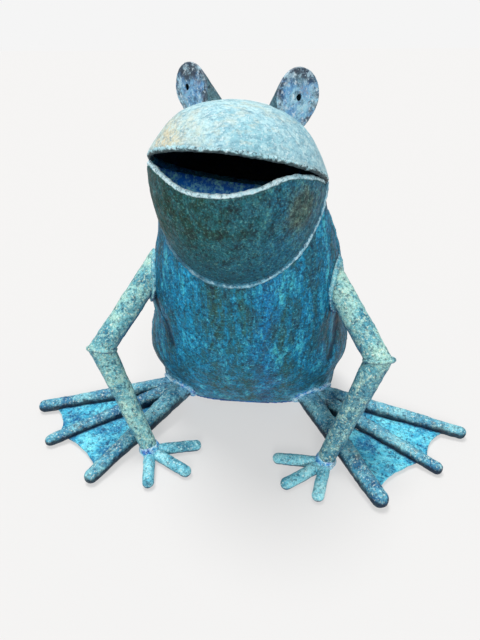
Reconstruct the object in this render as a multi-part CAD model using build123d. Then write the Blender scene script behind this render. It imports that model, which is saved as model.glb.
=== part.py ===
from build123d import *

import os
from math import cos, pi, radians, sin

# Seated frog, hollow, welded from hammered sheet, tapered tube and rod.
# Millimetres. +Z is up, the frog faces -Y, and its own left is +X.
# The origin is the middle of the base plate's underside, on the ground.

SIDES = {"left": 1, "right": -1}

# Sheet, rod and weld sizes
SHEET = 2.0
BASE_THICKNESS = 2.5
BASE_LEDGE = 1.0
EYE_SHEET = 1.6
WEB_SHEET = 1.6
TUBE_WALL = 1.5
UPPER_LIP_RADIUS = 1.8
LOWER_LIP_RADIUS = 1.6
JAW_RIM_DROP = 2.4
NAPE_WELD_RADIUS = 2.0
WELD_RISE = 2.2
SEAM_RISE = 1.0
SEAM_HALF_WIDTH = 2.5
WELD_SPREAD = 3.0

# Body barrel, from the base up to the mouth line, where the head takes over.
# Each station: height, middle x and y, half width, reach forward, reach back,
# nose-up pitch, roll towards the left side, and squareness of the outline.
BODY_STATIONS = [
    (2.5, 0, 0, 84.0, 49, 49, 0, 0, 2.5),
    (7, 0.5, -1, 89.5, 54.5, 53, 0, 0, 2.5),
    (16, 1, -3, 90.6, 60.5, 56, 0, 0, 2.5),
    (50, 1.7, -14, 93.5, 73, 62, 0, 0, 2.4),
    (90, 2, -28, 91.6, 79.5, 65, 0, 0, 2.3),
    (130, 2, -43, 85.6, 75, 62, 0, 0, 2.2),
    (165, 2.5, -57, 78.0, 64, 56, 0, 0, 2.1),
    (190, 3.5, -68, 70.5, 53, 49, 5, 1, 2.0),
    (209, 2, -77, 65.5, 42, 46, 12, 3, 2.0),
]
NECK_REACH_FRONT = 28.0
NECK_RISE = 8.0
STATION_POINTS = 32

# Side seams lie in one plane that leans forward with the body
SEAM_FOOT = (-3, 14)
SEAM_LEAN = 21.0
SEAM_LENGTH = 212.0
SEAM_REACH = 84.7

# Mouth line: the plane of the upper lip, which the head cap stands on
MOUTH_CENTRE = (-0.2, -90.0, 242.6)
MOUTH_PITCH = 21.0
MOUTH_ROLL = 6.8
MOUTH_YAW = 2.0
HEAD_HALF_WIDTH = 61.5
HEAD_REACH_FRONT = 70.5
HEAD_REACH_BACK = 60.0
CROWN_HEIGHT = 41.8

# Angles round the mouth line from its left corner: the lip in front, the weld behind
UPPER_LIP_ARC = (179, 361)
NAPE_ARC = (2, 178)

# Lower jaw: a deep bowl let into the front of the body
JAW_CENTRE = (-0.8, -90.0, 244.0)
JAW_HALF_WIDTH = 62.5
JAW_REACH_FRONT = 61.5
JAW_REACH_BACK = 48.0
JAW_DEPTH = 88.0
JAW_WALL_ABOVE = 20.0
JAW_STEPS = 7

# Lower lip: angle round the bowl from the left corner, and height of the rod
LOWER_LIP = [
    (2, 235.5),
    (18, 241.6),
    (38, 247.4),
    (54, 249.5),
    (70, 245.2),
    (86, 241.6),
    (99, 240.6),
    (115, 241.6),
    (132, 247.0),
    (150, 251.5),
    (166, 249.6),
    (178, 245.0),
]

# Eyes: flat discs with a pupil hole, each closed behind by a tapering sleeve
EYE_CENTRES = {"left": (40.0, -59.1, 287.3), "right": (-37.5, -57.5, 293.0)}
EYE_ROOTS = {"left": (17, -36, 250), "right": (-11, -36, 256)}
EYE_TURN = 38.0
EYE_RADII = {"left": 18.5, "right": 16.3}
EYE_FOOT_RADII = {"left": 7.0, "right": 7.5}
EYE_FOOT_DROP = 24.0
EYE_FOOT_SHIFT = 7.0
EYE_ROOT_SCALE = 0.75
PUPIL_OFFSETS = {"left": (0.6, -0.5), "right": (-4.2, 0.0)}
EYE_INSET = 0.2
EYE_WELD_SPREAD = 1.6
PUPIL_RADIUS = 2.5

# Arms: a short upper tube and a long tapering forearm, mitred at the elbow
SHOULDER = (66, -68, 167)
ELBOWS = {"left": (111.7, -114.0, 104.5), "right": (-112.6, -114.0, 101.8)}
WRIST = (77.7, -130.0, 10.5)
UPPER_ARM_RADII = (10.3, 9.9)
FOREARM_RADII = (10.7, 7.3)
ELBOW_WELD_RADIUS = 1.3
ELBOW_WELD_DEPTH = 0.9
ARM_GIRTH = {"left": 1.02, "right": 0.99}

# Fingers: solid rods from under the wrist
FINGER_RADII = (5.2, 4.9)
WRIST_WELD_RADIUS = 8.6
FINGER_TIPS = {
    "left": {"inner": (37, -128.5), "middle": (44.5, -155.5), "outer": (70, -165)},
    "right": {"inner": (-38, -119.5), "middle": (-41.5, -150), "outer": (-70, -164.5)},
}

# Toes: tapering tubes with closed round tips, lying flat from the hip
HIP = (54, -38)
HIP_RISE = 8.0
TOE_TIPS = {
    "left": {"front": (118, -166), "middle": (171.5, -127), "rear": (203.5, -81.5)},
    "right": {"front": (-119, -163.5), "middle": (-172, -125.5), "rear": (-198.5, -80.5)},
}
TOE_RADII = {
    "left": {"front": (10.6, 7.2), "middle": (8.6, 5.4), "rear": (8.4, 5.6)},
    "right": {"front": (11.0, 5.8), "middle": (8.4, 5.2), "rear": (8.4, 5.6)},
}
HIP_WELD_SPREAD = 3.5

# Webs: flat sheet between neighbouring toes, rising to the hip, with a scalloped outer edge
WEB_UNDERSIDE = 2.6
# Each web: its two toes, how far along each it reaches, and how deep its edge cuts in
WEBS = {
    "front": {"toes": ("front", "middle"), "reach": (0.96, 0.92), "scallop": (128.5, -142.0)},
    "rear": {"toes": ("middle", "rear"), "reach": (0.96, 0.94), "scallop": (171.0, -100.5)},
}

BLOCK = 700.0


def half_space(plane):
    """A large block that fills everything on the plane's +Z side."""
    return plane * Pos(0, 0, BLOCK / 2) * Box(BLOCK, BLOCK, BLOCK)


def rounded_power(value, power):
    """Signed power, which squares the corners of an ellipse."""
    return (1 if value >= 0 else -1) * abs(value) ** power


def outline(half_width, front, back, squareness=2.0):
    """Closed curve with different reach forward (-Y) and back (+Y)."""
    points = []
    for step in range(STATION_POINTS):
        angle = 2 * pi * step / STATION_POINTS
        reach = back if sin(angle) > 0 else front
        x = half_width * rounded_power(cos(angle), 2 / squareness)
        y = reach * rounded_power(sin(angle), 2 / squareness)
        points.append((x, y))
    return Wire([Edge.make_spline([Vector(x, y) for x, y in points], periodic=True)])


def head_frame():
    """Place of the mouth plane: its origin between the corners of the mouth."""
    turn = Rot(0, 0, MOUTH_YAW) * Rot(0, MOUTH_ROLL, 0) * Rot(-MOUTH_PITCH, 0, 0)
    return Pos(*MOUTH_CENTRE) * turn


def body_solid(grow=0.0):
    """The body's outer form, or a larger or smaller copy of it."""
    wires = []
    for height, x, y, half_width, front, back, pitch, roll, squareness in BODY_STATIONS:
        curve = outline(half_width + grow, front + grow, back + grow, squareness)
        wires.append(Pos(x, y, height) * Rot(0, roll, 0) * Rot(-pitch, 0, 0) * curve)
    for rise in (0.0, NECK_RISE):
        curve = outline(HEAD_HALF_WIDTH + grow, NECK_REACH_FRONT + grow, HEAD_REACH_BACK + grow)
        wires.append(head_frame() * Pos(0, 0, rise) * curve)
    return Solid.make_loft(wires)


def jaw_solid(grow=0.0):
    """The jaw bowl's outer form: half an ellipsoid with an upright wall on top."""
    wires = []
    for step in range(1, JAW_STEPS + 1):
        angle = radians(90 * step / JAW_STEPS)
        depth = (JAW_DEPTH + grow) * cos(angle)
        size = sin(angle)
        curve = outline(
            (JAW_HALF_WIDTH + grow) * size,
            (JAW_REACH_FRONT + grow) * size,
            (JAW_REACH_BACK + grow) * size,
        )
        wires.append(Pos(*JAW_CENTRE) * Pos(0, 0, -depth) * curve)
    top = outline(JAW_HALF_WIDTH + grow, JAW_REACH_FRONT + grow, JAW_REACH_BACK + grow)
    wires.append(Pos(*JAW_CENTRE) * Pos(0, 0, JAW_WALL_ABOVE) * top)
    return Solid.make_loft(wires)


def head_solid(grow=0.0):
    """The head's full ellipsoid, of which the cap is the upper part."""
    half_length = (HEAD_REACH_FRONT + HEAD_REACH_BACK) / 2
    shift = (HEAD_REACH_BACK - HEAD_REACH_FRONT) / 2
    size = (HEAD_HALF_WIDTH + grow, half_length + grow, CROWN_HEIGHT + grow)
    return head_frame() * Pos(0, shift, 0) * scale(Sphere(1), by=size)


def plane_along(start, end):
    """Plane at start whose +Z points at end."""
    return Plane(origin=start, z_dir=Vector(*end) - Vector(*start))


def limb_solid(start, end, radii, grow=0.0, tip=False):
    """A tapering round limb; its tip may be closed by a dome."""
    length = (Vector(*end) - Vector(*start)).length
    plane = plane_along(start, end)
    solid = plane * Cone(
        radii[0] + grow, radii[1] + grow, length, align=(Align.CENTER, Align.CENTER, Align.MIN)
    )
    if tip:
        solid += Pos(*end) * Sphere(radii[1] + grow)
    return solid


def without(solid, *others):
    """The solid with each of the others cut away, less any crumbs that leaves."""
    for other in others:
        solid = solid - other
    return max(solid.solids(), key=lambda piece: piece.volume)


def rod_along(path, radius):
    """Round rod that follows a path."""
    section = Plane(origin=path @ 0, z_dir=path % 0) * Circle(radius)
    return sweep(section, path=path)


def mirrored(point, side):
    """A point given for the left side, on the asked side."""
    return (SIDES[side] * point[0], *point[1:])


def mouth_arc(start_angle, end_angle):
    """Stretch of the head's edge, in the middle of its sheet."""
    shift = (HEAD_REACH_BACK - HEAD_REACH_FRONT) / 2
    return Edge.make_ellipse(
        HEAD_HALF_WIDTH - SHEET / 2,
        (HEAD_REACH_FRONT + HEAD_REACH_BACK - SHEET) / 2,
        plane=Plane(head_frame() * Pos(0, shift, 0)),
        start_angle=start_angle,
        end_angle=end_angle,
    )


def build_lips():
    """Round rods that edge the upper and the lower lip."""
    upper = rod_along(mouth_arc(*UPPER_LIP_ARC), UPPER_LIP_RADIUS)
    points = []
    for angle, height in LOWER_LIP:
        x = JAW_CENTRE[0] + (HEAD_HALF_WIDTH - SHEET / 2) * cos(radians(angle))
        y = JAW_CENTRE[1] - (JAW_REACH_FRONT - SHEET / 2) * sin(radians(angle))
        points.append((x, y, height))
    lower = rod_along(Spline(*points), LOWER_LIP_RADIUS)
    return upper, lower, points


def build_body_panels():
    """Hollow body in two hammered panels, open where the jaw bowl sits."""
    shell = without(body, body_solid(-SHEET), above_mouth, jaw, upper_lip, lower_lip, nape_weld)
    belly = without(shell, behind_seam)
    back = shell & behind_seam
    return belly, back


def build_jaw_bowl():
    """Bowl whose rim follows the lower lip in front and the mouth plane behind."""
    shell = without(jaw, jaw_solid(-SHEET))
    left_x, right_x = lip_points[-1][0] - BLOCK / 2, lip_points[0][0] + BLOCK / 2
    rim = Spline(*[(x, height) for x, _, height in lip_points])
    edges = [
        rim,
        Line((lip_points[-1][0], lip_points[-1][2]), (left_x, lip_points[-1][2])),
        Line((left_x, lip_points[-1][2]), (left_x, BLOCK)),
        Line((left_x, BLOCK), (right_x, BLOCK)),
        Line((right_x, BLOCK), (right_x, lip_points[0][2])),
        Line((right_x, lip_points[0][2]), (lip_points[0][0], lip_points[0][2])),
    ]
    profile = Face(Wire(edges))
    in_front = Plane(origin=(0, MOUTH_CENTRE[1], 0), x_dir=(1, 0, 0), z_dir=(0, -1, 0))
    lip_cutter = extrude(in_front * profile, BLOCK, dir=(0, -1, 0))
    lowered = half_space(Plane(head_frame() * Pos(0, 0, -JAW_RIM_DROP)))
    return without(shell, lip_cutter, lowered, upper_lip, lower_lip)


def build_head_cap():
    """Domed cap over the mouth."""
    return without(head, head_solid(-SHEET), below_mouth, upper_lip, nape_weld)


def build_base_plate():
    """Flat plate that closes the body at the ground."""
    _, x, y, half_width, front, back, _, _, squareness = BODY_STATIONS[0]
    curve = outline(half_width + BASE_LEDGE, front + BASE_LEDGE, back + BASE_LEDGE, squareness)
    return extrude(Face(Pos(x, y, 0) * curve), BASE_THICKNESS)


def eye_plane(side):
    """Plane of an eye disc: +Z looks out, +Y is up."""
    turn = radians(EYE_TURN)
    return Plane(
        origin=EYE_CENTRES[side],
        x_dir=(cos(turn), SIDES[side] * sin(turn), 0),
        z_dir=(SIDES[side] * sin(turn), -cos(turn), 0),
    )


def eye_outline(side, grow=0.0, factor=1.0):
    """Round at the top, narrowing to a foot nearer the middle of the head."""
    foot = Pos(-SIDES[side] * EYE_FOOT_SHIFT * factor, -EYE_FOOT_DROP * factor)
    circles = [
        Circle((EYE_RADII[side] + grow) * factor),
        foot * Circle((EYE_FOOT_RADII[side] + grow) * factor),
    ]
    return make_hull([circle.edge() for circle in circles])


def sleeve_solid(side, grow=0.0):
    """The tapering form from the back of an eye disc down into the head."""
    plane = eye_plane(side)
    root = Plane(origin=EYE_ROOTS[side], x_dir=plane.x_dir, z_dir=plane.z_dir)
    near = plane * Pos(0, 0, -EYE_SHEET) * eye_outline(side, grow)
    far = root * eye_outline(side, grow, EYE_ROOT_SCALE)
    return Solid.make_loft([near.face().outer_wire(), far.face().outer_wire()], ruled=True)


def build_eye(side):
    """Flat disc with a pupil hole, and the sleeve that closes it behind."""
    plane = eye_plane(side)
    pupil = plane * Pos(*PUPIL_OFFSETS[side]) * Cylinder(PUPIL_RADIUS, 4 * EYE_SHEET)
    disc = extrude(plane * Pos(0, 0, -EYE_SHEET) * eye_outline(side), EYE_SHEET)
    outer = sleeve_solid(side, -EYE_INSET)
    sleeve = without(outer, sleeve_solid(side, -EYE_INSET - EYE_SHEET), head)
    return without(disc, pupil, head), sleeve, disc + outer


def build_eye_weld(side, eye):
    """Bead where the sleeve stands on the head."""
    bead = sleeve_solid(side, EYE_WELD_SPREAD) & head_solid(EYE_WELD_SPREAD)
    disc = extrude(eye_plane(side) * eye_outline(side, EYE_WELD_SPREAD), -2 * EYE_SHEET)
    return without(bead, disc, eye, head)


def build_throat_weld():
    """Bead where the jaw bowl leaves the body."""
    throat = body_solid(WELD_RISE) & jaw_solid(WELD_RISE)
    return without(throat, body, jaw, above_mouth, upper_lip, lower_lip, nape_weld)


def build_side_weld(side, arm):
    """Bead down the side seam, from under the nape to the base."""
    strip = Box(HEAD_HALF_WIDTH, SEAM_LENGTH, 2 * SEAM_HALF_WIDTH)
    strip = seam_plane * Pos(SIDES[side] * SEAM_REACH, -SEAM_LENGTH / 2, 0) * strip
    return without(body_solid(SEAM_RISE) & strip, body, arm)


def build_arm(side):
    """Upper arm and forearm tubes, mitred at the elbow."""
    girth = ARM_GIRTH[side]
    shoulder, elbow, wrist = mirrored(SHOULDER, side), ELBOWS[side], mirrored(WRIST, side)
    upper_radii = [radius * girth for radius in UPPER_ARM_RADII]
    fore_radii = [radius * girth for radius in FOREARM_RADII]
    down = (Vector(*elbow) - Vector(*shoulder)).normalized()
    on = (Vector(*wrist) - Vector(*elbow)).normalized()
    mitre = Plane(origin=elbow, x_dir=down.cross(on), z_dir=down + on)
    beyond = half_space(mitre)
    before = half_space(Plane(origin=elbow, z_dir=-(down + on)))
    past_elbow = Vector(*elbow) + down * 2 * upper_radii[1]
    over_elbow = Vector(*elbow) - on * 2 * fore_radii[0]

    def upper_solid(grow):
        return limb_solid(shoulder, tuple(past_elbow), upper_radii, grow) - beyond

    def fore_solid(grow):
        return limb_solid(tuple(over_elbow), wrist, fore_radii, grow) - before

    radius = fore_radii[0] - ELBOW_WELD_DEPTH
    corner = Edge.make_ellipse(radius, radius / down.dot(mitre.z_dir), plane=mitre)
    elbow_weld = rod_along(corner, ELBOW_WELD_RADIUS)
    upper = without(upper_solid(0), upper_solid(-TUBE_WALL), body, elbow_weld)
    fore = without(fore_solid(0), fore_solid(-TUBE_WALL), elbow_weld)
    full = upper_solid(0) + fore_solid(0)
    shoulder_weld = without(upper_solid(WELD_SPREAD) & body_solid(WELD_RISE), full, body)
    return upper, fore, elbow_weld, shoulder_weld, full, upper_solid(WELD_SPREAD)


def build_hand(side, arm):
    """Three rod fingers on the ground, and the weld that joins them to the wrist."""
    wrist = mirrored(WRIST, side)
    root = (wrist[0], wrist[1], FINGER_RADII[0])
    knuckle = Pos(wrist[0], wrist[1], WRIST_WELD_RADIUS) * Sphere(WRIST_WELD_RADIUS)
    fingers = {}
    for name in ("middle", "inner", "outer"):
        x, y = FINGER_TIPS[side][name]
        finger = limb_solid(root, (x, y, FINGER_RADII[1]), FINGER_RADII, tip=True)
        fingers[name] = without(finger, knuckle, arm, *fingers.values())
    return fingers, without(knuckle, arm)


def toe_solid(name, side, grow=0.0):
    """A toe's outer form, sloping from the hip to its round tip on the ground."""
    near, far = TOE_RADII[side][name]
    start = (SIDES[side] * HIP[0], HIP[1], near + HIP_RISE)
    return limb_solid(start, (*TOE_TIPS[side][name], far), (near, far), grow, tip=True)


def web_sheet(web, side):
    """One web before it is trimmed: from the hip along two toes, with its curved edge."""
    hip = Vector(SIDES[side] * HIP[0], HIP[1], WEB_UNDERSIDE + HIP_RISE)
    ends = []
    for toe, reach in zip(web["toes"], web["reach"]):
        tip = Vector(*TOE_TIPS[side][toe], WEB_UNDERSIDE)
        ends.append(hip + (tip - hip) * reach)
    level = Plane(origin=hip, x_dir=ends[0] - hip, z_dir=(ends[0] - hip).cross(ends[1] - hip))
    x, y = mirrored(web["scallop"], side)
    fall = level.z_dir.dot(Vector(x, y, 0) - hip) / level.z_dir.Z
    arc = ThreePointArc(ends[0], Vector(x, y, -fall), ends[1])
    return extrude(Face(Wire([Line(hip, ends[0]), arc, Line(ends[1], hip)])), WEB_SHEET, dir=(0, 0, 1))


def build_foot(side):
    """Three toes, two webs and the hip weld of one foot."""
    toes = {}
    outers = []
    for name in ("front", "rear", "middle"):
        outer = toe_solid(name, side)
        hollow = toe_solid(name, side, -TUBE_WALL)
        toes[name] = without(outer, hollow, body, base_plate, *outers)
        outers.append(outer)
    spread = toe_solid("front", side, HIP_WELD_SPREAD)
    for name in ("rear", "middle"):
        spread += toe_solid(name, side, HIP_WELD_SPREAD)
    ground = Pos(0, 0, -BLOCK / 2) * Box(BLOCK, BLOCK, BLOCK)
    weld = without(spread & body_solid(WELD_SPREAD), body, base_plate, ground, *outers)
    webs = {name: without(web_sheet(web, side), body, *outers) for name, web in WEBS.items()}
    return toes, webs, weld


def build_all():
    """Every piece of the frog by name."""
    pieces = {
        "base_plate": base_plate,
        "head_cap": build_head_cap(),
        "jaw_bowl": build_jaw_bowl(),
        "upper_lip_rod": without(upper_lip),
        "lower_lip_rod": without(lower_lip, upper_lip, nape_weld),
        "nape_weld": without(nape_weld, upper_lip),
    }
    pieces["belly_panel"], pieces["back_panel"] = build_body_panels()
    pieces["throat_weld"] = build_throat_weld()
    for side in SIDES:
        disc, sleeve, eye = build_eye(side)
        pieces[f"eye_disc_{side}"] = disc
        pieces[f"eye_sleeve_{side}"] = sleeve
        pieces[f"eye_weld_{side}"] = build_eye_weld(side, eye)
        upper, fore, elbow_weld, shoulder_weld, arm, shoulder = build_arm(side)
        pieces[f"upper_arm_{side}"] = upper
        pieces[f"forearm_{side}"] = fore
        pieces[f"elbow_weld_{side}"] = without(elbow_weld)
        pieces[f"shoulder_weld_{side}"] = shoulder_weld
        pieces[f"side_weld_{side}"] = build_side_weld(side, shoulder)
        fingers, pieces[f"wrist_weld_{side}"] = build_hand(side, arm)
        for name, finger in fingers.items():
            pieces[f"finger_{name}_{side}"] = finger
        toes, webs, pieces[f"hip_weld_{side}"] = build_foot(side)
        for name, toe in toes.items():
            pieces[f"toe_{name}_{side}"] = toe
        for name, web in webs.items():
            pieces[f"web_{name}_{side}"] = web
    return pieces


# Outer forms that trim the pieces against each other
body = body_solid()
jaw = jaw_solid()
head = head_solid()
mouth_plane = Plane(head_frame())
above_mouth = half_space(mouth_plane)
below_mouth = half_space(Plane(mouth_plane.origin, x_dir=mouth_plane.x_dir, z_dir=-mouth_plane.z_dir))
seam_plane = Plane(origin=(0, *SEAM_FOOT), x_dir=(1, 0, 0), z_dir=(0, 1, 0)).rotated((SEAM_LEAN, 0, 0))
behind_seam = half_space(seam_plane)
upper_lip, lower_lip, lip_points = build_lips()
nape_weld = rod_along(mouth_arc(*NAPE_ARC), NAPE_WELD_RADIUS)
base_plate = build_base_plate()

os.makedirs("parts", exist_ok=True)
for name, piece in build_all().items():
    export_step(piece, f"parts/{name}.step")
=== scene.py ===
from math import radians

import bpy
import numpy as np
from mathutils import Matrix, Vector
from mathutils.bvhtree import BVHTree


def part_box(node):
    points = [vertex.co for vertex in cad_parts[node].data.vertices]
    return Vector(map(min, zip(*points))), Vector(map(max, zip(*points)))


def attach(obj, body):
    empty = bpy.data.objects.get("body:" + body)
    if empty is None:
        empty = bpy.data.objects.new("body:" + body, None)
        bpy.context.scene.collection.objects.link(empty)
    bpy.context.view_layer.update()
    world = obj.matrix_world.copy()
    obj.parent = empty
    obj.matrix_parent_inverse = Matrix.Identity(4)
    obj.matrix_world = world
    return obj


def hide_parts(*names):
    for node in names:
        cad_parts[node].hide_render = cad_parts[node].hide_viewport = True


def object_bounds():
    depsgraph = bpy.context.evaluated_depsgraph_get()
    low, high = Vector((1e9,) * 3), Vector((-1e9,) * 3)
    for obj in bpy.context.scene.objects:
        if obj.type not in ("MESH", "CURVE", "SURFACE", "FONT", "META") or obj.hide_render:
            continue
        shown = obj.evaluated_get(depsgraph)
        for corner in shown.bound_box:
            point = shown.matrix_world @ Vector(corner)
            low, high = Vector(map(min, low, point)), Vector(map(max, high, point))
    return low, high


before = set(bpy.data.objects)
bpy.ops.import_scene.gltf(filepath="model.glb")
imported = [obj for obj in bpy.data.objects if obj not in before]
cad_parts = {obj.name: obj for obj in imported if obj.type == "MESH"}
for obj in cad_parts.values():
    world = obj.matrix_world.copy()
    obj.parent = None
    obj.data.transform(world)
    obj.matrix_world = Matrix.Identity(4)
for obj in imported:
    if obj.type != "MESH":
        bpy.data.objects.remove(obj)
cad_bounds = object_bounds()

# A hollow frog welded from hammered sheet, tube and rod, with a blue-green patina.
# Every CAD piece is remade as a dense mesh with hammer marks, folds and weld ripples.
# Metres. The frog faces -Y and its own left is +X.

MM = 0.001

# How far the head cap's sheet is worked away from the plain dome
LIP_LAP_REACH = 7 * MM
LIP_LAP_OUT = 0.8 * MM
LIP_LAP_DOWN = 1.0 * MM
TEMPLE_DEPTH = 4.5 * MM

# Folds that run down from the armpits: places on the belly as x and z, from the top
CREASES = {
    "right": ((-78 * MM, 156 * MM), (-70 * MM, 134 * MM), (-62 * MM, 118 * MM), (-58 * MM, 96 * MM)),
    "left": ((80 * MM, 152 * MM), (82 * MM, 126 * MM), (81 * MM, 100 * MM), (78 * MM, 78 * MM)),
}
CREASE_WIDTH = 3.2 * MM
CREASE_DEPTH = 1.6 * MM

# How far off a neighbouring piece still colours this one
HIP_STAIN_REACH = 9 * MM
# The webs take painted shade within this reach of the toes
WEB_CORNER_REACH = 5 * MM
TOE_STAIN_REACH = 14 * MM
EYE_RIM_REACH = 6 * MM
SEAM_FLANK_REACH = 2.2 * MM

# Depth of the finest pits, which only the paint shows
PIT_DEPTH = 0.3 * MM


# ---- Noise ---------------------------------------------------------------------------

def lattice_value(i, j, k, seed):
    """Repeatable value between -1 and 1 for each point of a whole-number lattice."""
    mixed = (i * 374761393 + j * 668265263 + k * 1440662683 + seed * 1274126177) & 0xFFFFFFFF
    mixed = ((mixed ^ (mixed >> 13)) * 1103515245) & 0xFFFFFFFF
    return ((mixed ^ (mixed >> 16)) & 0xFFFF) / 32767.5 - 1


def smooth_noise(points, cell, seed=0):
    """Smooth noise between -1 and 1; cell is the size of its lumps, or three sizes."""
    scaled = points / np.asarray(cell)
    base = np.floor(scaled).astype(np.int64)
    part = scaled - base
    part = part * part * (3 - 2 * part)
    total = np.zeros(len(points))
    for corner in range(8):
        step = np.array([corner & 1, corner >> 1 & 1, corner >> 2 & 1])
        weight = np.prod(np.where(step == 1, part, 1 - part), axis=1)
        total += weight * lattice_value(*(base + step).T, seed)
    return total


def layered_noise(points, cell, layers=3, seed=0):
    """Smooth noise with finer layers added at half strength each."""
    total = np.zeros(len(points))
    for layer in range(layers):
        total += smooth_noise(points, np.asarray(cell) / 2**layer, seed + 17 * layer) / 2**layer
    return total


# ---- Meshes --------------------------------------------------------------------------

def evaluated_mesh(piece):
    """The piece's mesh with its modifiers applied."""
    graph = bpy.context.evaluated_depsgraph_get()
    return bpy.data.meshes.new_from_object(piece.evaluated_get(graph))


def remade(node, voxel, smoothing=2):
    """A new piece with the node's form in small even faces and softened edges."""
    piece = bpy.data.objects.new(f"{node}_worked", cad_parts[node].data.copy())
    bpy.context.scene.collection.objects.link(piece)
    remesh = piece.modifiers.new("even faces", "REMESH")
    remesh.mode = "VOXEL"
    remesh.voxel_size = voxel
    soften = piece.modifiers.new("soft edges", "SMOOTH")
    soften.factor = 0.5
    soften.iterations = smoothing
    mesh = evaluated_mesh(piece)
    piece.modifiers.clear()
    piece.data = mesh
    mesh.materials.clear()
    mesh.shade_smooth()
    return piece


def points_and_normals(mesh):
    """Vertex places and directions as arrays."""
    points = np.empty(len(mesh.vertices) * 3, np.float32)
    mesh.vertices.foreach_get("co", points)
    normals = np.empty(len(mesh.vertices) * 3, np.float32)
    mesh.vertex_normals.foreach_get("vector", normals)
    return points.reshape(-1, 3).astype(float), normals.reshape(-1, 3).astype(float)


def move_points(piece, points):
    """Puts the mesh's vertices in new places."""
    piece.data.vertices.foreach_set("co", points.astype(np.float32).ravel())
    piece.data.update()


def push(piece, distance):
    """Moves every vertex along its normal by distance(points, normals), inside the frog's box."""
    points, normals = points_and_normals(piece.data)
    points += normals * distance(points, normals)[:, None]
    move_points(piece, np.clip(points, whole_low, whole_high))


def facing(points, normals, centre):
    """Above 0 where a vertex looks away from a centre, below 0 where it looks towards it."""
    return np.einsum("ij,ij->i", normals, points - np.array(centre))


def lap_over_lip(piece):
    """Runs the dome's lower edge out and down over the rod that it stands on."""
    points, normals = points_and_normals(piece.data)
    near = nearness(piece, ["upper_lip_rod"], LIP_LAP_REACH)[:, None]
    outside = (facing(points, normals, mouth_centre) > 0)[:, None]
    points += near * (outside * normals * LIP_LAP_OUT - mouth_up * LIP_LAP_DOWN)
    move_points(piece, points)


def draw_in_temples(piece):
    """Flattens the sides of the dome between the mouth line and the crown."""
    points = points_and_normals(piece.data)[0]
    rise = (points - mouth_centre) @ mouth_up
    height = np.clip(rise / rise.max(), 0, 1)
    offset = points[:, 0] - mouth_centre[0]
    across = offset / np.abs(offset).max()
    points[:, 0] -= TEMPLE_DEPTH * np.sin(np.pi * height) * np.sign(across) * across**2
    move_points(piece, points)


def mark(piece, name, values):
    """Stores one number for every vertex, for the materials to read."""
    piece.data.attributes.new(name, "FLOAT", "POINT").data.foreach_set("value", values.astype(np.float32))


def nearness(piece, nodes, reach):
    """How near every vertex is to the given nodes: 1 at touch, 0 at reach."""
    trees = []
    for node in nodes:
        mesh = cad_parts[node].data
        corners = [vertex.co for vertex in mesh.vertices]
        trees.append(BVHTree.FromPolygons(corners, [face.vertices[:] for face in mesh.polygons]))
    near = np.zeros(len(piece.data.vertices))
    for number, vertex in enumerate(piece.data.vertices):
        for tree in trees:
            distance = tree.find_nearest(vertex.co, reach)[3]
            if distance is not None:
                near[number] = max(near[number], 1 - distance / reach)
    return near


# ---- How each kind of piece is worked ------------------------------------------------

whole_low, whole_high = (np.array(corner) for corner in cad_bounds)
belly_low, belly_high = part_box("belly_panel")
jaw_centre = sum(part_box("jaw_bowl"), Vector()) / 2

# The mouth plane, from the rod that lies in it
lip_points = points_and_normals(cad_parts["upper_lip_rod"].data)[0]
mouth_centre = lip_points.mean(axis=0)
mouth_up = np.linalg.svd(lip_points - mouth_centre, full_matrices=False)[2][2]
mouth_up *= np.sign(mouth_up[2])


def creases(points, normals):
    """1 along the bottom of each fold that runs down from an armpit, 0 a little way off."""
    depth = np.zeros(len(points))
    flat = points[:, (0, 2)]
    for line in CREASES.values():
        for start, end in zip(line, line[1:]):
            start, run = np.array(start), np.subtract(end, start)
            part = np.clip((flat - start) @ run / (run @ run), 0, 1)
            away = np.linalg.norm(flat - start - part[:, None] * run, axis=1)
            depth = np.maximum(depth, np.exp(-((away / CREASE_WIDTH) ** 2)))
    faces_forward = normals[:, 1] < 0.1
    return depth * faces_forward


def hammered_body(points, normals):
    """Hammer marks all over, and upright folds on the belly that fade towards the throat."""
    folds = layered_noise(points, (10 * MM, 16 * MM, 80 * MM), 2, seed=3)
    height = (points[:, 2] - belly_low.z) / (belly_high.z - belly_low.z)
    fade = np.clip(height / 0.12, 0, 1) * np.clip((0.78 - height) / 0.25, 0, 1)
    marks = layered_noise(points, 15 * MM, 3, seed=5)
    grain = smooth_noise(points, 2.2 * MM, seed=8)
    relief = folds * fade * 1.0 * MM + marks * 0.4 * MM + grain * 0.12 * MM + 0.25 * MM
    return relief - creases(points, normals) * CREASE_DEPTH


def hammered_head(points, normals):
    """Shallow planishing marks."""
    marks = layered_noise(points, 13 * MM, 3, seed=11)
    grain = smooth_noise(points, 2.0 * MM, seed=12)
    return marks * 0.35 * MM + grain * 0.14 * MM + 0.2 * MM


def rough_jaw(points, normals):
    """A rougher, pitted skin."""
    marks = layered_noise(points, 16 * MM, 2, seed=21)
    pits = layered_noise(points, 3.0 * MM, 2, seed=22)
    return marks * 0.4 * MM + pits * 0.22 * MM + 0.2 * MM


def worked_tube(points, normals):
    """Uneven tube, drawn and hammered by hand."""
    lumps = layered_noise(points, 13 * MM, 2, seed=31)
    marks = layered_noise(points, 4.0 * MM, 2, seed=32)
    return lumps * 0.45 * MM + marks * 0.26 * MM


def knobbly_rod(points, normals):
    """Rod run over with weld, so that its surface is all small lumps."""
    lumps = layered_noise(points, 7 * MM, 3, seed=45)
    knobs = np.abs(smooth_noise(points, 2.4 * MM, seed=46))
    return lumps * 0.35 * MM + knobs * 0.5 * MM - 0.1 * MM


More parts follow.
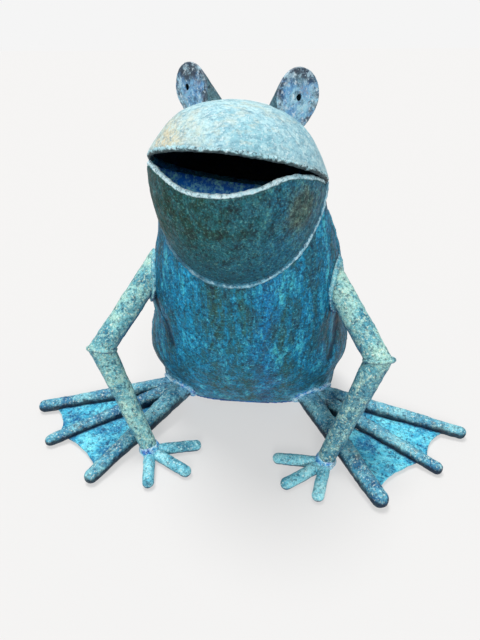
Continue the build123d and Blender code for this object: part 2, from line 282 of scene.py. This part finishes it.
def worked_rod(points, normals):
    """Thin rod with light marks."""
    lumps = layered_noise(points, 8 * MM, 2, seed=41)
    return lumps * 0.3 * MM + smooth_noise(points, 2.5 * MM, seed=42) * 0.16 * MM + 0.1 * MM


def weld_ripple(points, normals):
    """Lumpy bead laid down in short overlapping runs."""
    lumps = layered_noise(points, 5.0 * MM, 2, seed=51)
    blobs = np.abs(smooth_noise(points, 2.6 * MM, seed=52))
    return lumps * 0.4 * MM + blobs * 0.5 * MM + 0.3 * MM


def rippled_web(points, normals):
    """Thin sheet with soft waves."""
    waves = layered_noise(points, 11 * MM, 3, seed=61)
    return np.sign(normals[:, 2]) * waves * 0.8 * MM + 0.1 * MM


def dented_eye(points, normals):
    """Cut and bent by hand."""
    return layered_noise(points, 9 * MM, 3, seed=71) * 0.30 * MM + 0.25 * MM


# Each kind: how its nodes' names start, the size of its faces, and how it is worked
KINDS = {
    "body": (("belly_panel", "back_panel"), 0.9 * MM, hammered_body),
    "base": (("base_plate",), 1.0 * MM, hammered_head),
    "head": (("head_cap",), 0.8 * MM, hammered_head),
    "jaw": (("jaw_bowl",), 0.8 * MM, rough_jaw),
    "upper_lip": (("upper_lip_rod",), 0.5 * MM, knobbly_rod),
    "lower_lip": (("lower_lip_rod",), 0.5 * MM, knobbly_rod),
    "eye": (("eye_disc_",), 0.55 * MM, dented_eye),
    "sleeve": (("eye_sleeve_",), 0.55 * MM, dented_eye),
    "arm": (("upper_arm_", "forearm_"), 0.6 * MM, worked_tube),
    "elbow": (("elbow_weld_",), 0.5 * MM, weld_ripple),
    "finger": (("finger_",), 0.6 * MM, worked_rod),
    "toe": (("toe_",), 0.65 * MM, worked_tube),
    "web": (("web_",), 0.6 * MM, rippled_web),
    "seam": (("throat_weld",), 0.5 * MM, weld_ripple),
    "side": (("side_weld_", "nape_weld"), 0.6 * MM, weld_ripple),
    "joint": (("wrist_weld_", "hip_weld_"), 0.55 * MM, weld_ripple),
    "eye_base": (("eye_weld_",), 0.55 * MM, weld_ripple),
    "shoulder": (("shoulder_weld_",), 0.55 * MM, weld_ripple),
}


# ---- Materials -----------------------------------------------------------------------

def srgb(red, green, blue):
    """Colour given as the eye sees it, 0 to 255, in the shader's linear values."""
    parts = [value / 255 for value in (red, green, blue)]
    return tuple(p / 12.92 if p <= 0.04045 else ((p + 0.055) / 1.055) ** 2.4 for p in parts) + (1.0,)


class Shader:
    """Short ways to add and join nodes in one material."""

    def __init__(self, name):
        self.material = bpy.data.materials.new(name)
        self.material.use_nodes = True
        self.tree = self.material.node_tree
        self.surface = self.tree.nodes["Principled BSDF"]
        self.place = self.add("ShaderNodeTexCoord").outputs["Object"]
        self.geometry = self.add("ShaderNodeNewGeometry")
        self.paint_and_shade_layer = None  # Paint and painted shade laid over all the other layers, set by a tone function

    def add(self, kind, **settings):
        node = self.tree.nodes.new(kind)
        for key, value in settings.items():
            setattr(node, key, value)
        return node

    def join(self, source, target):
        self.tree.links.new(source, target)

    def noise(self, size, detail=4.0, rough=0.6, stretch=(1, 1, 1), shift=0.0, warp=0.0):
        """Noise from 0 to 1 whose lumps are about size metres across."""
        mapping = self.add("ShaderNodeMapping")
        mapping.inputs["Location"].default_value = (shift, shift * 0.7, shift * 1.3)
        mapping.inputs["Scale"].default_value = stretch
        self.join(self.place, mapping.inputs["Vector"])
        node = self.add("ShaderNodeTexNoise")
        node.inputs["Scale"].default_value = 1 / size
        node.inputs["Detail"].default_value = detail
        node.inputs["Roughness"].default_value = rough
        node.inputs["Distortion"].default_value = warp
        self.join(mapping.outputs["Vector"], node.inputs["Vector"])
        return node.outputs["Fac"]

    def steps(self, factor, stops):
        """Colour ramp; stops are pairs of place and colour or grey."""
        node = self.add("ShaderNodeValToRGB")
        elements = node.color_ramp.elements
        while len(elements) < len(stops):
            elements.new(0.5)
        for element, (place, colour) in zip(elements, stops):
            element.position = place
            element.color = colour if isinstance(colour, tuple) else (colour, colour, colour, 1)
        self.join(factor, node.inputs["Fac"])
        return node.outputs["Color"]

    def mask(self, factor, start, end):
        """Grey that goes from 0 at start to 1 at end."""
        node = self.add("ShaderNodeMapRange", interpolation_type="SMOOTHSTEP")
        node.inputs["From Min"].default_value = start
        node.inputs["From Max"].default_value = end
        self.join(factor, node.inputs["Value"])
        return node.outputs["Result"]

    def blend(self, factor, first, second, kind="MIX"):
        """Mixes two colours; factor, first and second may be numbers, colours or sockets."""
        node = self.add("ShaderNodeMix", data_type="RGBA", blend_type=kind)
        for socket, value in ((0, factor), (6, first), (7, second)):
            if isinstance(value, bpy.types.NodeSocket):
                self.join(value, node.inputs[socket])
            else:
                node.inputs[socket].default_value = value
        return node.outputs[2]

    def attribute(self, name):
        """One of the numbers marked on the mesh."""
        return self.add("ShaderNodeAttribute", attribute_name=name).outputs["Fac"]

    def share(self, factor, amount):
        """Part of a factor."""
        return self.math("MULTIPLY", factor, amount)

    def swing(self, factor, amount):
        """A noise made to swing about zero, amount from end to end."""
        return self.share(self.math("SUBTRACT", factor, 0.5), amount)

    def math(self, kind, first, second):
        """One step of arithmetic; first and second may be numbers or sockets."""
        node = self.add("ShaderNodeMath", operation=kind)
        for socket, value in enumerate((first, second)):
            if isinstance(value, bpy.types.NodeSocket):
                self.join(value, node.inputs[socket])
            else:
                node.inputs[socket].default_value = value
        return node.outputs[0]

    def about(self, centre, start, end):
        """Grey that goes from 0 to 1 as the distance from a point goes from start to end."""
        node = self.add("ShaderNodeVectorMath", operation="DISTANCE")
        node.inputs[1].default_value = centre
        self.join(self.place, node.inputs[0])
        wander = self.swing(self.noise(start / 2, 4, 0.7, shift=60.0), start)
        return self.mask(self.math("ADD", node.outputs["Value"], wander), start, end)

    def axis(self, name, source=None):
        """One coordinate of the place, or of another vector."""
        node = self.add("ShaderNodeSeparateXYZ")
        self.join(source or self.place, node.inputs[0])
        return node.outputs[name]


def patina(name, ground, bloom, stain, fleck, speck=2.2 * MM, bloom_amount=0.7, fleck_amount=0.6,
           stain_amount=0.6, patch=26 * MM, grain=0.6, extra=None):
    """Layered patina: a mottled ground, pale bloom, dark stain in hollows, and small flecks."""
    shader = Shader(name)
    broad = shader.noise(patch, 4, 0.65)
    mottle = shader.noise(speck * 2.8, 6, 0.75, shift=3.1)
    fine = shader.noise(speck * 1.6, 6, 0.75, shift=7.7)
    flecks = shader.noise(speck * 0.9, 3, 0.6, shift=1.9)
    colour = shader.steps(broad, [(0.36, ground[0]), (0.50, ground[1]), (0.64, ground[2])])
    if extra:
        colour = extra(shader, colour)
    colour = shader.blend(shader.share(shader.mask(mottle, 0.49, 0.61), bloom_amount), colour, bloom)
    colour = shader.blend(shader.share(shader.mask(fine, 0.51, 0.39), stain_amount), colour, stain)
    pointed = shader.geometry.outputs["Pointiness"]
    colour = shader.blend(shader.share(shader.mask(pointed, 0.49, 0.44), 0.5), colour, stain)
    colour = shader.blend(shader.share(shader.mask(flecks, 0.56, 0.66), fleck_amount), colour, fleck)
    colour = shader.blend(shader.share(shader.mask(pointed, 0.52, 0.57), 0.3), colour, fleck)
    speckle = shader.noise(speck * 0.8, 4, 0.85, shift=13.0)
    colour = shader.blend(grain, colour, shader.steps(speckle, [(0.38, 0.22), (0.62, 0.78)]), "OVERLAY")
    if shader.paint_and_shade_layer:
        colour = shader.paint_and_shade_layer(colour)
    shader.join(colour, shader.surface.inputs["Base Color"])
    rough = shader.add("ShaderNodeMapRange")
    limits = {"From Min": 0.35, "From Max": 0.65, "To Min": 0.42, "To Max": 0.85}
    for limit, value in limits.items():
        rough.inputs[limit].default_value = value
    shader.join(mottle, rough.inputs["Value"])
    shader.join(rough.outputs["Result"], shader.surface.inputs["Roughness"])
    height = shader.math("ADD", fine, shader.math("ADD", mottle, flecks))
    bump = shader.add("ShaderNodeBump")
    bump.inputs["Strength"].default_value = 0.9
    bump.inputs["Distance"].default_value = PIT_DEPTH
    shader.join(height, bump.inputs["Height"])
    shader.join(bump.outputs["Normal"], shader.surface.inputs["Normal"])
    shader.surface.inputs["Specular IOR Level"].default_value = 0.25
    return shader.material


def belly_bands(shader, colour):
    """Upright streaks of blue, cyan, green and brown across the belly; painted shade in the creases and
    along the belly's foot.
    """
    wander = shader.noise(20 * MM, 3, 0.6, stretch=(1, 1, 0.25), shift=5.0)
    across = shader.mask(shader.axis("X"), belly_low.x, belly_high.x)
    across = shader.math("ADD", across, shader.swing(wander, 0.2))
    # The dark stops at both ends of this ramp are painted shade on the belly's sides.
    bands = shader.steps(across, [
        (0.00, srgb(4, 52, 74)),
        (0.11, srgb(6, 92, 132)),
        (0.20, srgb(12, 148, 196)),
        (0.29, srgb(18, 112, 146)),
        (0.36, srgb(44, 90, 82)),
        (0.44, srgb(8, 114, 150)),
        (0.52, srgb(36, 98, 98)),
        (0.60, srgb(8, 104, 152)),
        (0.68, srgb(10, 98, 166)),
        (0.76, srgb(38, 98, 104)),
        (0.87, srgb(10, 106, 148)),
        (1.00, srgb(6, 64, 92)),
    ])
    streak = shader.noise(11 * MM, 7, 0.8, stretch=(1, 1, 0.2), shift=2.0)
    streaks = shader.steps(streak, [
        (0.38, srgb(0, 28, 48)),
        (0.45, srgb(44, 78, 58)),
        (0.50, srgb(0, 92, 120)),
        (0.55, srgb(2, 120, 170)),
        (0.64, srgb(86, 212, 222)),
    ])
    # Masks for painted shade in the creases and in a band along the belly's foot
    crease = shader.share(shader.mask(shader.attribute("crease"), 0.25, 1.0), 0.8)
    foot_shade = shader.share(shader.mask(shader.axis("Z"), belly_low.z + 5 * MM, belly_low.z + 1 * MM), 0.8)
    blotch = shader.mask(shader.noise(5 * MM, 5, 0.8, shift=44.0), 0.44, 0.56)
    welded = shader.share(shader.math("MULTIPLY", shader.attribute("near"), blotch), 0.9)

    def paint_and_shade_layer(painted):
        painted = shader.blend(shader.math("MAXIMUM", crease, foot_shade), painted, srgb(4, 24, 42))
        return shader.blend(welded, painted, srgb(120, 200, 226))

    shader.paint_and_shade_layer = paint_and_shade_layer
    return shader.blend(0.62, bands, streaks)


def throat_tones(shader, colour):
    """Dark olive on the frog's right, bluer on its left and towards the seam."""
    low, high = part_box("jaw_bowl")
    side = shader.mask(shader.axis("X"), low.x * 0.3, high.x * 0.8)
    wander = shader.noise(22 * MM, 4, 0.6, shift=9.0)
    side = shader.math("ADD", side, shader.swing(wander, 1.6))
    olive = shader.noise(7 * MM, 6, 0.85, stretch=(1, 1, 0.7), shift=4.0)
    dark = shader.steps(olive, [
        (0.38, srgb(4, 22, 22)),
        (0.48, srgb(28, 66, 52)),
        (0.56, srgb(14, 82, 92)),
        (0.66, srgb(56, 116, 108)),
    ])
    blue = shader.steps(olive, [
        (0.38, srgb(8, 54, 72)),
        (0.50, srgb(20, 100, 132)),
        (0.62, srgb(70, 134, 138)),
    ])
    mixed = shader.blend(side, dark, blue)
    brown = shader.about((high.x * 0.78, low.y * 0.88, high.z - 24 * MM), 22 * MM, 8 * MM)
    tone = shader.steps(olive, [
        (0.40, srgb(36, 42, 34)),
        (0.52, srgb(76, 88, 66)),
        (0.64, srgb(128, 150, 128)),
    ])
    mixed = shader.blend(shader.share(brown, 0.75), mixed, tone)
    lower = shader.mask(shader.axis("Z"), low.z + 66 * MM, low.z + 14 * MM)
    return shader.blend(shader.share(lower, 0.6), mixed, srgb(8, 84, 112))


def head_tones(shader, colour):
    """Ochre blooms and pale grey-green patches on the pale turquoise dome, with blue-grey strokes."""
    low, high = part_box("head_cap")
    ochre = shader.about((low.x * 0.55, low.y + 24 * MM, low.z + 40 * MM), 34 * MM, 8 * MM)
    colour = shader.blend(shader.share(ochre, 0.7), colour, srgb(224, 196, 140))
    patch = shader.mask(shader.noise(13 * MM, 5, 0.7, stretch=(1, 1.4, 2), shift=12.0), 0.50, 0.60)
    colour = shader.blend(shader.share(patch, 0.5), colour, srgb(190, 196, 180))
    strokes = shader.noise(6 * MM, 6, 0.85, stretch=(0.7, 1.4, 2.4), shift=15.0, warp=0.8)
    colour = shader.blend(shader.share(shader.mask(strokes, 0.50, 0.38), 0.75), colour, srgb(84, 132, 156))
    side = shader.mask(shader.axis("X"), high.x * 0.2, high.x)
    return shader.blend(shader.share(side, 0.35), colour, srgb(120, 168, 188))


def painted_underside_shade(tone, start=0.35, end=-0.45, amount=0.9, ragged=0.9):
    """Painted shade: darker colour on faces that look down."""
    def add(shader, colour):
        wander = shader.swing(shader.noise(6 * MM, 5, 0.8, shift=30.0), ragged)
        upward = shader.math("ADD", shader.axis("Z", shader.geometry.outputs["Normal"]), wander)
        down = shader.share(shader.mask(upward, start, end), amount)
        shader.paint_and_shade_layer = lambda painted: shader.blend(down, painted, tone)
        return colour
    return add


def inside_colour(tone_low, tone_high):
    """A different colour on the inside of a shell."""
    def add(shader, colour):
        cloud = shader.noise(5 * MM, 6, 0.8, shift=33.0)
        tone = shader.steps(cloud, [(0.46, tone_low), (0.64, tone_high)])
        inner = shader.attribute("inside")
        shader.paint_and_shade_layer = lambda painted: shader.blend(inner, painted, tone)
        return colour
    return add


def both(*tones):
    """Applies several tone functions in turn."""
    def add(shader, colour):
        for tone in tones:
            colour = tone(shader, colour)
        return colour
    return add


def eye_tones(shader, colour):
    """Dark and rusty towards the top and the rim of each eye."""
    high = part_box("eye_disc_right")[1]
    wander = shader.share(shader.noise(12 * MM, 4, 0.7, shift=6.0), 22 * MM)
    height = shader.math("ADD", shader.axis("Z"), wander)
    top = shader.mask(height, high.z - 4 * MM, high.z + 4 * MM)
    rim = shader.mask(shader.attribute("near"), 0.15, 0.75)
    scuff = shader.mask(shader.noise(7 * MM, 4, 0.7, shift=26.0), 0.40, 0.58)
    scuffed = shader.math("MULTIPLY", rim, scuff)
    dark = shader.share(shader.math("MAXIMUM", top, scuffed), 0.9)
    rust = shader.mask(shader.noise(8 * MM, 4, 0.7, shift=21.0), 0.52, 0.64)
    colour = shader.blend(shader.share(rust, 0.45), colour, srgb(150, 120, 110))
    return shader.blend(dark, colour, srgb(52, 54, 60))


def rusty(shader, colour):
    """Rust and bare dark metal in patches."""
    rust = shader.mask(shader.noise(13 * MM, 4, 0.65, shift=18.0), 0.58, 0.68)
    return shader.blend(shader.share(rust, 0.6), colour, srgb(100, 98, 88))


def web_corner_shade(shader, colour):
    """Painted shade: deep blue in the corners beside the toes."""
    near = shader.mask(shader.attribute("near"), 0.3, 0.95)
    shader.paint_and_shade_layer = lambda painted: shader.blend(shader.share(near, 0.92), painted, srgb(4, 30, 74))
    return colour


def toe_tones(shader, colour):
    """Bright weld blotches near the hip, and navy painted shade on the undersides."""
    colour = painted_underside_shade(srgb(2, 12, 38), 0.7, 0.05)(shader, rusty(shader, colour))
    with_underside_shade = shader.paint_and_shade_layer
    blotch = shader.mask(shader.noise(5 * MM, 5, 0.8, shift=47.0), 0.46, 0.56)
    welded = shader.share(shader.math("MULTIPLY", shader.attribute("near"), blotch), 0.8)
    shader.paint_and_shade_layer = lambda painted: shader.blend(welded, with_underside_shade(painted), srgb(140, 208, 232))
    return colour


def arm_tones(shader, colour):
    """The frog's left forearm is a shade deeper than the rest."""
    lower = shader.mask(shader.axis("Z"), 112 * MM, 84 * MM)
    left = shader.math("MULTIPLY", lower, shader.mask(shader.axis("X"), 0.0, 20 * MM))
    return shader.blend(shader.share(left, 0.6), colour, srgb(50, 112, 138))


def seam_tones(shader, colour):
    """Only the crest of the bead is bright, and it fades on the frog's right."""
    wander = shader.swing(shader.noise(12 * MM, 4, 0.7, shift=40.0), 0.16)
    side = shader.mask(shader.math("ADD", shader.axis("X"), wander), 22 * MM, -34 * MM)
    breaks = shader.swing(shader.noise(4 * MM, 4, 0.8, shift=52.0), 2.2)
    flank = shader.mask(shader.math("ADD", shader.attribute("near"), breaks), 0.12, 0.45)
    hidden = shader.share(shader.math("MAXIMUM", shader.share(side, 0.85), flank), 0.92)
    cloud = shader.noise(5 * MM, 6, 0.8, shift=54.0)
    tone = shader.steps(cloud, [(0.4, srgb(6, 52, 74)), (0.6, srgb(30, 112, 138))])
    shader.paint_and_shade_layer = lambda painted: shader.blend(hidden, painted, tone)
    return colour


def arm_patina(name):
    """Sage and cream over teal, with painted blue shade beneath."""
    return patina(
        name, [srgb(60, 132, 154), srgb(108, 174, 182), srgb(160, 206, 196)], srgb(170, 210, 198),
        srgb(18, 66, 92), srgb(222, 228, 198), speck=2.0 * MM, fleck_amount=0.55, stain_amount=0.75,
        patch=18 * MM, grain=0.7, extra=both(arm_tones, painted_underside_shade(srgb(14, 72, 116), 0.1, -0.6)))


MATERIALS = {
    "body": lambda: patina(
        "body_patina", [srgb(30, 92, 112)] * 3, srgb(26, 128, 156), srgb(2, 26, 46), srgb(96, 186, 206),
        bloom_amount=0.4, fleck_amount=0.35, stain_amount=0.65, grain=0.9, extra=belly_bands),
    "base": lambda: patina(
        "base_patina", [srgb(6, 40, 90), srgb(8, 60, 130), srgb(16, 90, 160)], srgb(24, 100, 170),
        srgb(4, 20, 50), srgb(80, 150, 200), fleck_amount=0.3),
    # The near-black inside of the head cap is painted shade.
    "head": lambda: patina(
        "head_patina", [srgb(140, 190, 202), srgb(162, 204, 214), srgb(178, 216, 220)],
        srgb(184, 218, 222), srgb(100, 150, 168), srgb(206, 226, 228), stain_amount=0.5,
        grain=0.35, extra=both(head_tones, inside_colour(srgb(3, 4, 6), srgb(8, 12, 16)))),
    "jaw": lambda: patina(
        "jaw_patina", [srgb(50, 76, 76)] * 3, srgb(30, 92, 94), srgb(2, 18, 22), srgb(98, 152, 146),
        speck=1.8 * MM, bloom_amount=0.3, fleck_amount=0.4, stain_amount=0.6, grain=1.0,
        extra=both(throat_tones, inside_colour(srgb(2, 116, 224), srgb(160, 250, 255)))),
    # The upper lip rod carries painted shade on its underside.
    "upper_lip": lambda: patina(
        "upper_lip_patina", [srgb(134, 184, 196), srgb(160, 206, 216), srgb(182, 222, 228)],
        srgb(184, 220, 228), srgb(34, 54, 66), srgb(216, 236, 240), speck=1.8 * MM, stain_amount=0.9,
        extra=painted_underside_shade(srgb(10, 18, 24), 0.2, -0.5, ragged=3.0)),
    # The lower lip rod carries painted shade on its underside.
    "lower_lip": lambda: patina(
        "lower_lip_patina", [srgb(150, 200, 214), srgb(180, 220, 230), srgb(204, 234, 240)],
        srgb(206, 232, 240), srgb(58, 100, 116), srgb(228, 242, 246), speck=1.8 * MM, stain_amount=0.7,
        extra=painted_underside_shade(srgb(50, 90, 100), -0.1, -0.8)),
    "eye": lambda: patina(
        "eye_patina", [srgb(76, 132, 190), srgb(124, 178, 212), srgb(160, 208, 224)],
        srgb(172, 206, 222), srgb(40, 60, 84), srgb(212, 228, 236), speck=3.0 * MM, patch=11 * MM,
        stain_amount=0.7, grain=0.45, extra=eye_tones),
    "sleeve": lambda: patina(
        "sleeve_patina", [srgb(40, 76, 96), srgb(74, 112, 128), srgb(104, 138, 146)],
        srgb(110, 144, 152), srgb(20, 34, 46), srgb(150, 166, 164), patch=12 * MM, extra=rusty),
    "eye_base": lambda: patina(
        "eye_base_patina", [srgb(90, 146, 176), srgb(130, 184, 206), srgb(168, 214, 226)],
        srgb(180, 222, 232), srgb(60, 104, 128), srgb(214, 236, 242), patch=12 * MM),
    "arm": lambda: arm_patina("arm_patina"),
    "elbow": lambda: arm_patina("elbow_patina"),
    # The fingers carry painted shade on their undersides.
    "finger": lambda: patina(
        "finger_patina", [srgb(56, 126, 150), srgb(104, 186, 206), srgb(160, 226, 234)],
        srgb(156, 218, 224), srgb(16, 58, 84), srgb(216, 240, 236), speck=1.9 * MM, fleck_amount=0.6,
        extra=painted_underside_shade(srgb(4, 34, 74), 0.1, -0.5)),
    "toe": lambda: patina(
        "toe_patina", [srgb(36, 100, 140), srgb(76, 150, 176), srgb(130, 194, 204)],
        srgb(140, 198, 204), srgb(10, 42, 72), srgb(216, 228, 214), speck=2.0 * MM, fleck_amount=0.6,
        extra=toe_tones),
    "web": lambda: patina(
        "web_patina", [srgb(20, 104, 152), srgb(62, 172, 204), srgb(120, 220, 234)],
        srgb(112, 202, 220), srgb(4, 56, 98), srgb(160, 226, 234), stain_amount=0.8, fleck_amount=0.4,
        extra=web_corner_shade),
    "seam": lambda: patina(
        "seam_patina", [srgb(60, 128, 156), srgb(110, 170, 192), srgb(176, 216, 230)],
        srgb(170, 210, 226), srgb(20, 74, 100), srgb(220, 238, 244), patch=14 * MM, fleck_amount=0.5,
        extra=seam_tones),
    "side": lambda: patina(
        "side_patina", [srgb(10, 72, 108), srgb(24, 106, 140), srgb(56, 140, 168)],
        srgb(50, 136, 160), srgb(4, 36, 60), srgb(110, 180, 200), fleck_amount=0.3),
    "joint": lambda: patina(
        "joint_patina", [srgb(20, 104, 196), srgb(90, 180, 220), srgb(190, 232, 242)],
        srgb(190, 230, 242), srgb(6, 46, 110), srgb(236, 246, 252), patch=8 * MM, fleck_amount=0.8),
    # The shoulder welds carry painted shade on their undersides.
    "shoulder": lambda: patina(
        "shoulder_patina", [srgb(30, 112, 150), srgb(80, 160, 184), srgb(136, 200, 204)],
        srgb(140, 200, 206), srgb(10, 56, 92), srgb(214, 232, 224), patch=14 * MM, fleck_amount=0.5,
        extra=painted_underside_shade(srgb(4, 46, 100), 0.1, -0.5)),
}


def dress(piece, node):
    """Marks the places where a material needs to know its surroundings."""
    side = node.rsplit("_", 1)[1]
    surface = points_and_normals(piece.data)
    if node in ("jaw_bowl", "head_cap"):
        centre = (jaw_centre.x, jaw_centre.y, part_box("head_cap")[0].z)
        mark(piece, "inside", facing(*surface, centre) < 0)
    if node in ("belly_panel", "back_panel"):
        mark(piece, "crease", creases(*surface))
    for start, neighbours, reach in (
        ("belly_panel", ["hip_weld_left", "hip_weld_right"], HIP_STAIN_REACH),
        ("back_panel", ["hip_weld_left", "hip_weld_right"], HIP_STAIN_REACH),
        ("web_", [f"toe_front_{side}", f"toe_middle_{side}", f"toe_rear_{side}"], WEB_CORNER_REACH),
        ("toe_", [f"hip_weld_{side}"], TOE_STAIN_REACH),
        ("eye_disc_", [f"eye_sleeve_{side}"], EYE_RIM_REACH),
        ("throat_weld", ["belly_panel", "jaw_bowl"], SEAM_FLANK_REACH),
    ):
        if node.startswith(start):
            mark(piece, "near", nearness(piece, neighbours, reach))


def build_pieces():
    """Every CAD node remade, worked and painted."""
    for kind, (starts, voxel, work) in KINDS.items():
        material = MATERIALS[kind]()
        for node in sorted(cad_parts):
            if not node.startswith(starts):
                continue
            piece = remade(node, voxel * (1))
            push(piece, work)
            if node == "head_cap":
                lap_over_lip(piece)
                draw_in_temples(piece)
            dress(piece, node)
            piece.data.materials.append(material)
            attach(piece, "root")
            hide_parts(node)


# ---- Studio --------------------------------------------------------------------------

# Each lamp: the way to it, its strength, and how wide it is in degrees
LAMPS = {"overhead": ((-0.14, 0.16, 1.0), 2.7, 24), "front": ((0.06, -1.0, 0.52), 1.5, 16)}
SURROUND = 0.40
BACKDROP = 0.913
FLOOR_REACH = 30.0
FLOOR_PAINT = (0.27, 0.264, 0.258, 1)
FLOOR_GLOW = 0.524
CAMERA_PLACE = (0.0356, -0.4337, 0.3205)
CAMERA_TURN, CAMERA_TILT, CAMERA_ROLL = radians(5.88), radians(60.0), radians(-0.45)
CAMERA_SENSOR, CAMERA_LENS = 36, 27


def build_floor():
    """Plain pale floor, large enough to reach the horizon, with some light of its own."""
    ends = (-FLOOR_REACH, FLOOR_REACH)
    corners = [(ends[0], ends[0], 0), (ends[1], ends[0], 0), (ends[1], ends[1], 0), (ends[0], ends[1], 0)]
    mesh = bpy.data.meshes.new("floor")
    mesh.from_pydata(corners, [], [(0, 1, 2, 3)])
    floor = bpy.data.objects.new("floor", mesh)
    bpy.context.scene.collection.objects.link(floor)
    paint = bpy.data.materials.new("floor_paint")
    paint.use_nodes = True
    surface = paint.node_tree.nodes["Principled BSDF"]
    surface.inputs["Base Color"].default_value = FLOOR_PAINT
    surface.inputs["Roughness"].default_value = 1.0
    surface.inputs["Specular IOR Level"].default_value = 0.0
    surface.inputs["Emission Color"].default_value = (1, 1, 1, 1)
    surface.inputs["Emission Strength"].default_value = FLOOR_GLOW
    mesh.materials.append(paint)


def build_light():
    """One wide soft lamp above and behind, a weak one in front, and an even pale surround."""
    for name, (towards, power, spread) in LAMPS.items():
        light = bpy.data.lights.new(name, "SUN")
        light.energy = power
        light.angle = radians(spread)
        lamp = bpy.data.objects.new(name, light)
        lamp.rotation_euler = Vector(towards).to_track_quat("Z", "Y").to_euler()
        bpy.context.scene.collection.objects.link(lamp)
    world = bpy.data.worlds.new("surround")
    bpy.context.scene.world = world
    world.use_nodes = True
    tree = world.node_tree
    glow = tree.nodes["Background"]
    glow.inputs["Color"].default_value = (1, 1, 1, 1)
    glow.inputs["Strength"].default_value = SURROUND
    seen = tree.nodes.new("ShaderNodeBackground")
    seen.inputs["Color"].default_value = (BACKDROP, BACKDROP, BACKDROP, 1)
    path = tree.nodes.new("ShaderNodeLightPath")
    mix = tree.nodes.new("ShaderNodeMixShader")
    tree.links.new(path.outputs["Is Camera Ray"], mix.inputs["Fac"])
    tree.links.new(glow.outputs["Background"], mix.inputs[1])
    tree.links.new(seen.outputs["Background"], mix.inputs[2])
    tree.links.new(mix.outputs["Shader"], tree.nodes["World Output"].inputs["Surface"])
    bpy.context.scene.view_settings.view_transform = "Standard"


def build_camera():
    """Camera a little above the frog and to its left, looking down."""
    data = bpy.data.cameras.new("camera")
    data.sensor_width = CAMERA_SENSOR
    data.lens = CAMERA_LENS
    data.clip_start = 0.01
    camera = bpy.data.objects.new("camera", data)
    turned = Matrix.Rotation(CAMERA_TURN, 4, "Z")
    tilted = Matrix.Rotation(CAMERA_TILT, 4, "X")
    rolled = Matrix.Rotation(CAMERA_ROLL, 4, "Z")
    camera.matrix_world = Matrix.Translation(CAMERA_PLACE) @ turned @ tilted @ rolled
    bpy.context.scene.collection.objects.link(camera)
    bpy.context.scene.camera = camera


build_pieces()
build_floor()
build_light()
build_camera()
